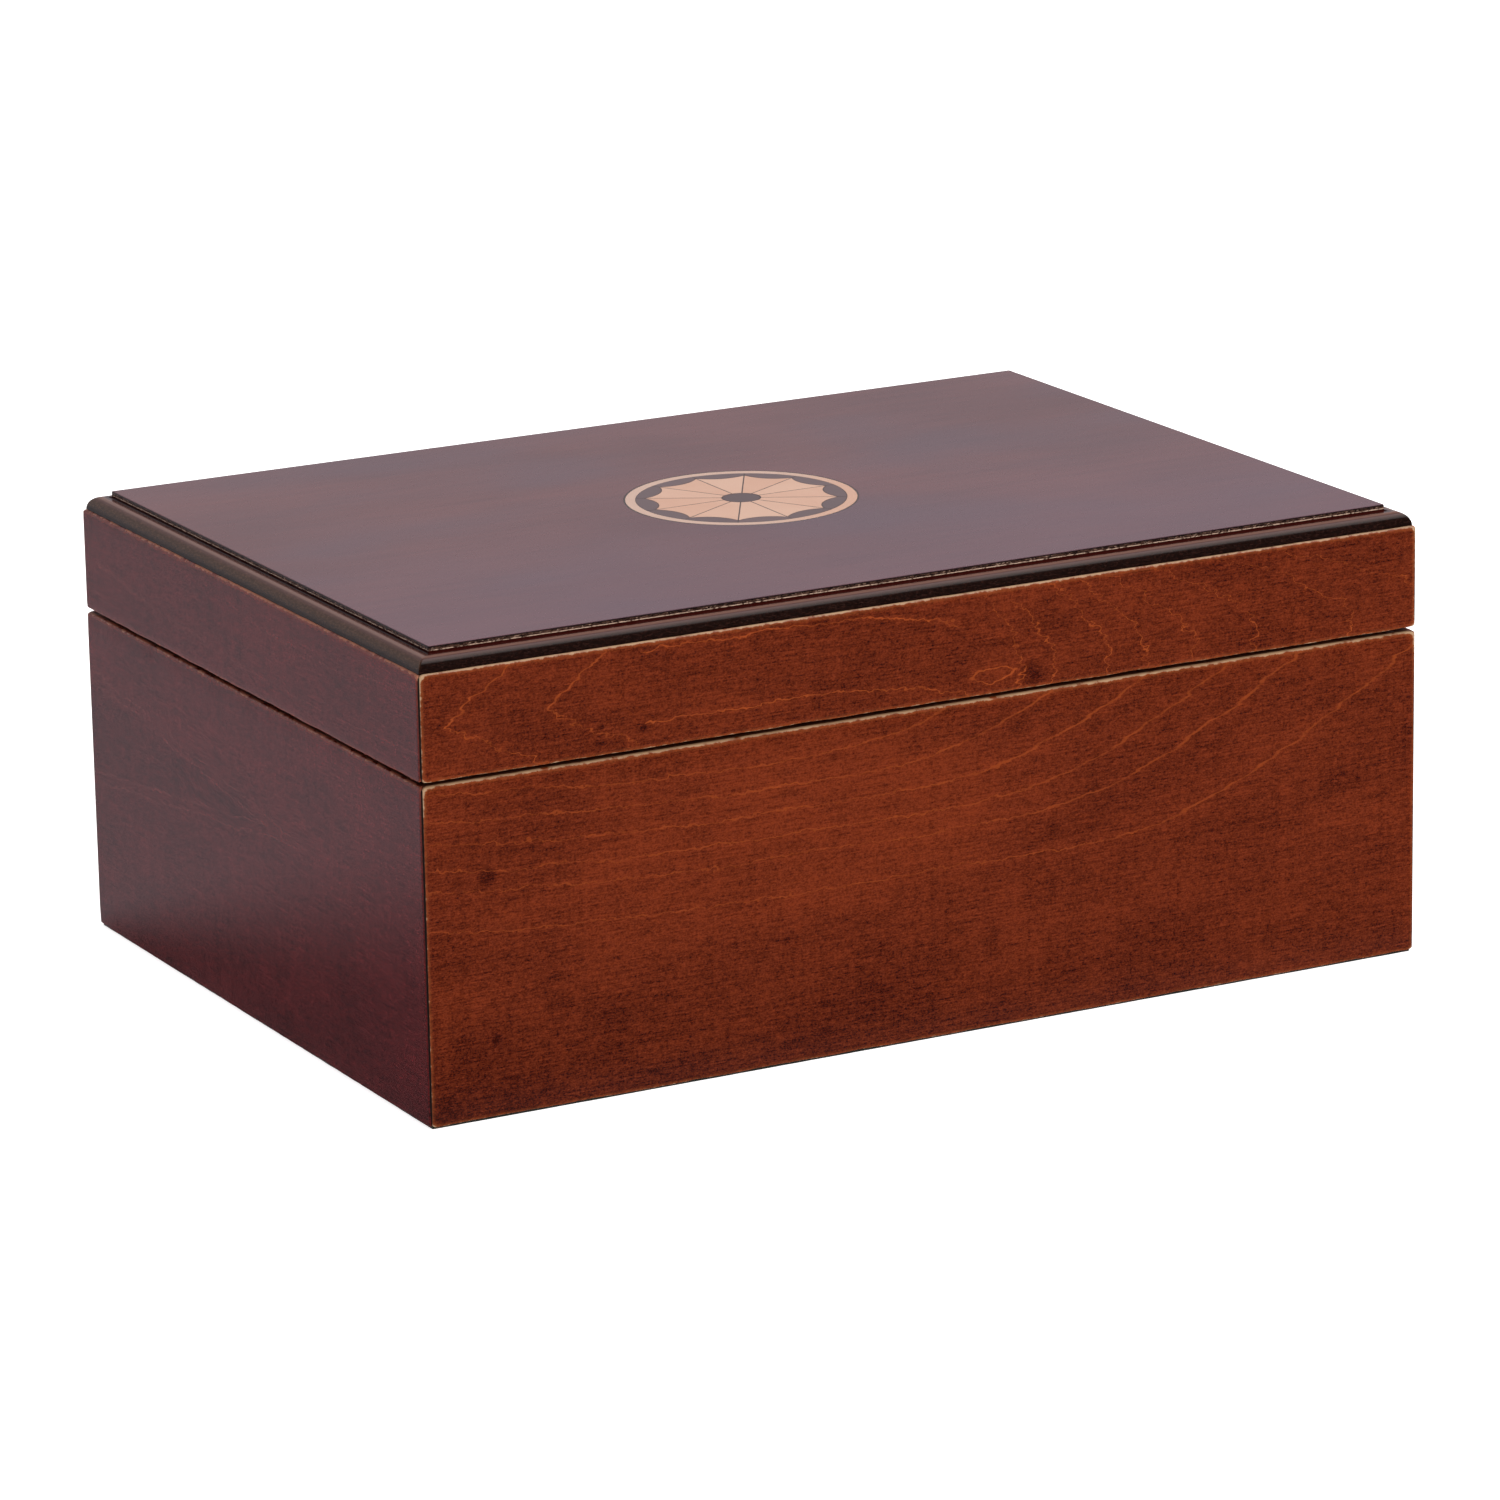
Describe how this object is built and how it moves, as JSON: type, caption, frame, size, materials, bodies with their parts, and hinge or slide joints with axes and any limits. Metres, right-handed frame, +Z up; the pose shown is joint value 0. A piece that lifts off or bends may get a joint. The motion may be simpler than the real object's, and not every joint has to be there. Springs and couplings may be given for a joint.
{
  "type": "inlaid wooden box",
  "caption": "Lidded wooden keepsake box with a round fan inlay on a moulded lid, hinged at the back with stop hinges and lined inside.",
  "frame": {"origin": "centre of the case's outline at the underside of the felt that the box stands on", "axes": "+Z up, the front faces -Y, +X to the right seen from the front"},
  "size_m": [0.3, 0.2184, 0.1258],
  "materials": {
    "case_veneer": "red-brown stained maple or birch veneer, satin lacquer, rubbed through to pale wood along the edges",
    "lid_panel_wood": "dark red-brown stained wood, satin lacquer",
    "light_inlay": "pale maple veneer under lacquer",
    "dark_inlay": "dark grey-brown dyed veneer under lacquer",
    "bottom_board": "plain plywood",
    "lining_velvet": "dark brown velvet over card and foam",
    "underside_felt": "black felt",
    "hinge_brass": "polished brass",
    "bumper_rubber": "soft dark rubber"
  },
  "bodies": {
    "base": {"base_front": "case_veneer", "base_right": "case_veneer", "base_back": "case_veneer", "base_left": "case_veneer", "base_bottom": "bottom_board", "underside_felt": "underside_felt", "base_lining_front": "lining_velvet", "base_lining_right": "lining_velvet", "base_lining_back": "lining_velvet", "base_lining_left": "lining_velvet", "floor_pad": "lining_velvet", "rim_bumpers": "bumper_rubber", "hinge_left_base_leaf": "hinge_brass", "hinge_right_base_leaf": "hinge_brass", "hinge_left_pin": "hinge_brass", "hinge_right_pin": "hinge_brass", "base_hinge_screws": "hinge_brass"},
    "lid": {"lid_front": "case_veneer", "lid_right": "case_veneer", "lid_back": "case_veneer", "lid_left": "case_veneer", "lid_panel": "lid_panel_wood", "lid_lining_front": "lining_velvet", "lid_lining_right": "lining_velvet", "lid_lining_back": "lining_velvet", "lid_lining_left": "lining_velvet", "lid_pad": "lining_velvet", "inlay_backing": "dark_inlay", "inlay_stringing": "dark_inlay", "inlay_ring": "light_inlay", "inlay_disc": "dark_inlay", "inlay_petal_1": "light_inlay", "inlay_petal_2": "light_inlay", "inlay_petal_3": "light_inlay", "inlay_petal_4": "light_inlay", "inlay_petal_5": "light_inlay", "inlay_petal_6": "light_inlay", "inlay_petal_7": "light_inlay", "inlay_petal_8": "light_inlay", "inlay_petal_9": "light_inlay", "inlay_petal_10": "light_inlay", "inlay_petal_11": "light_inlay", "inlay_petal_12": "light_inlay", "inlay_tip_1": "dark_inlay", "inlay_tip_2": "dark_inlay", "inlay_tip_3": "dark_inlay", "inlay_tip_4": "dark_inlay", "inlay_tip_5": "dark_inlay", "inlay_tip_6": "dark_inlay", "inlay_tip_7": "dark_inlay", "inlay_tip_8": "dark_inlay", "inlay_tip_9": "dark_inlay", "inlay_tip_10": "dark_inlay", "inlay_tip_11": "dark_inlay", "inlay_tip_12": "dark_inlay", "hinge_left_lid_leaf": "hinge_brass", "hinge_right_lid_leaf": "hinge_brass", "lid_hinge_screws": "hinge_brass"}
  },
  "joints": [
    {"name": "lid_hinge", "type": "hinge", "parent": "base", "child": "lid", "pos_m": [0, 0.10915, 0.0916], "axis": [-1, 0, 0], "range_deg": [0, 95]}
  ]
}
